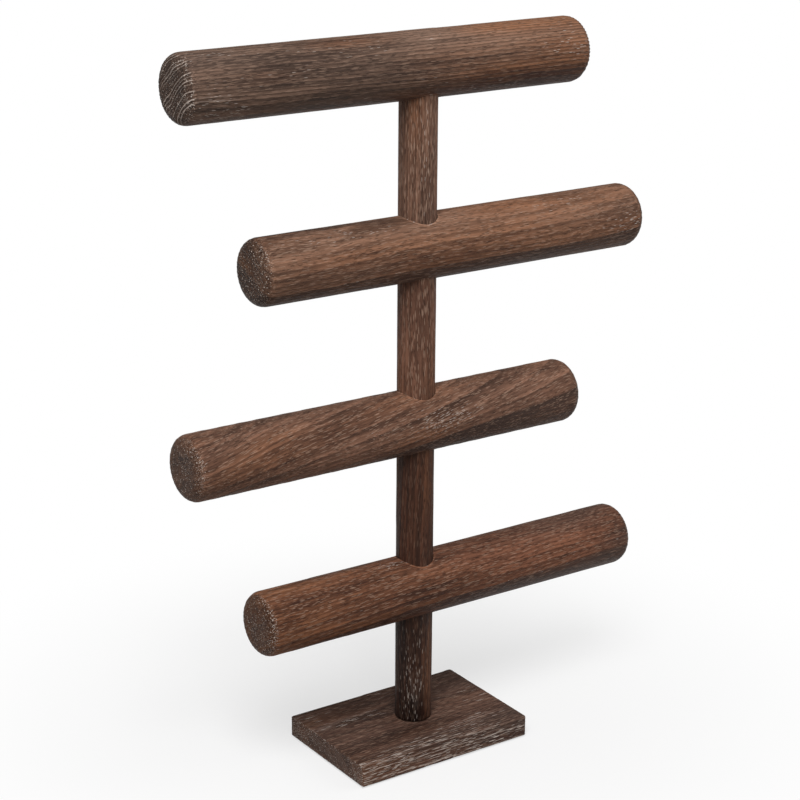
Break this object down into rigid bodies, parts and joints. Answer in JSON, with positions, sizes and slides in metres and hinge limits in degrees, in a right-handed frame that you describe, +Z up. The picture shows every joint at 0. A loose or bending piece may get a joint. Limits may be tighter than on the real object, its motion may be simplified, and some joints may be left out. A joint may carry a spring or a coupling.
{
  "type": "bracelet display stand",
  "caption": "Free-standing wooden display stand: rectangular base board and slim round post with thick round crossbars one above another, staggered left and right, to hang bracelets on.",
  "frame": {"origin": "on the post's axis, in the plane that the foot pads stand on; it is the bottom centre of the whole stand", "axes": "+X along the bars to the right, +Y from the front to the back, +Z up along the post"},
  "size_m": [0.388, 0.1, 0.54],
  "materials": {
    "stained_bar": "dark brown stain with whitewash left in the brushed grain, matt",
    "stained_post": "dark brown stain with whitewash left in the brushed grain, matt",
    "stained_board": "dark brown stain with whitewash left in the brushed grain, matt",
    "zinc_steel": "zinc-plated steel",
    "pad_rubber": "matt black rubber"
  },
  "bodies": {
    "stand": {"base_board": "stained_board", "base_bolt": "zinc_steel", "base_washer": "zinc_steel", "front_left_pad": "pad_rubber", "front_right_pad": "pad_rubber", "back_left_pad": "pad_rubber", "back_right_pad": "pad_rubber", "post_section_1": "stained_post", "post_section_1_lower_insert": "zinc_steel", "post_section_1_upper_insert": "zinc_steel", "joint_stud_1": "zinc_steel", "post_section_2": "stained_post", "post_section_2_lower_insert": "zinc_steel", "post_section_2_upper_insert": "zinc_steel", "joint_stud_2": "zinc_steel", "post_section_3": "stained_post", "post_section_3_lower_insert": "zinc_steel", "post_section_3_upper_insert": "zinc_steel", "joint_stud_3": "zinc_steel", "post_section_4": "stained_post", "post_section_4_lower_insert": "zinc_steel", "post_section_4_upper_insert": "zinc_steel", "joint_stud_4": "zinc_steel"},
    "lowest_bar": {"lowest_bar": "stained_bar"},
    "lower_middle_bar": {"lower_middle_bar": "stained_bar"},
    "upper_middle_bar": {"upper_middle_bar": "stained_bar"},
    "top_bar": {"top_bar": "stained_bar", "top_bar_insert": "zinc_steel"}
  },
  "joints": [
    {"name": "lowest_bar_swivel", "type": "hinge", "parent": "stand", "child": "lowest_bar", "pos_m": [0, 0, 0.126], "axis": [0, 0, 1], "continuous": true},
    {"name": "lower_middle_bar_swivel", "type": "hinge", "parent": "stand", "child": "lower_middle_bar", "pos_m": [0, 0, 0.256], "axis": [0, 0, 1], "continuous": true},
    {"name": "upper_middle_bar_swivel", "type": "hinge", "parent": "stand", "child": "upper_middle_bar", "pos_m": [0, 0, 0.386], "axis": [0, 0, 1], "continuous": true},
    {"name": "top_bar_swivel", "type": "hinge", "parent": "stand", "child": "top_bar", "pos_m": [0, 0, 0.516], "axis": [0, 0, 1], "range_deg": [-180, 180]}
  ]
}
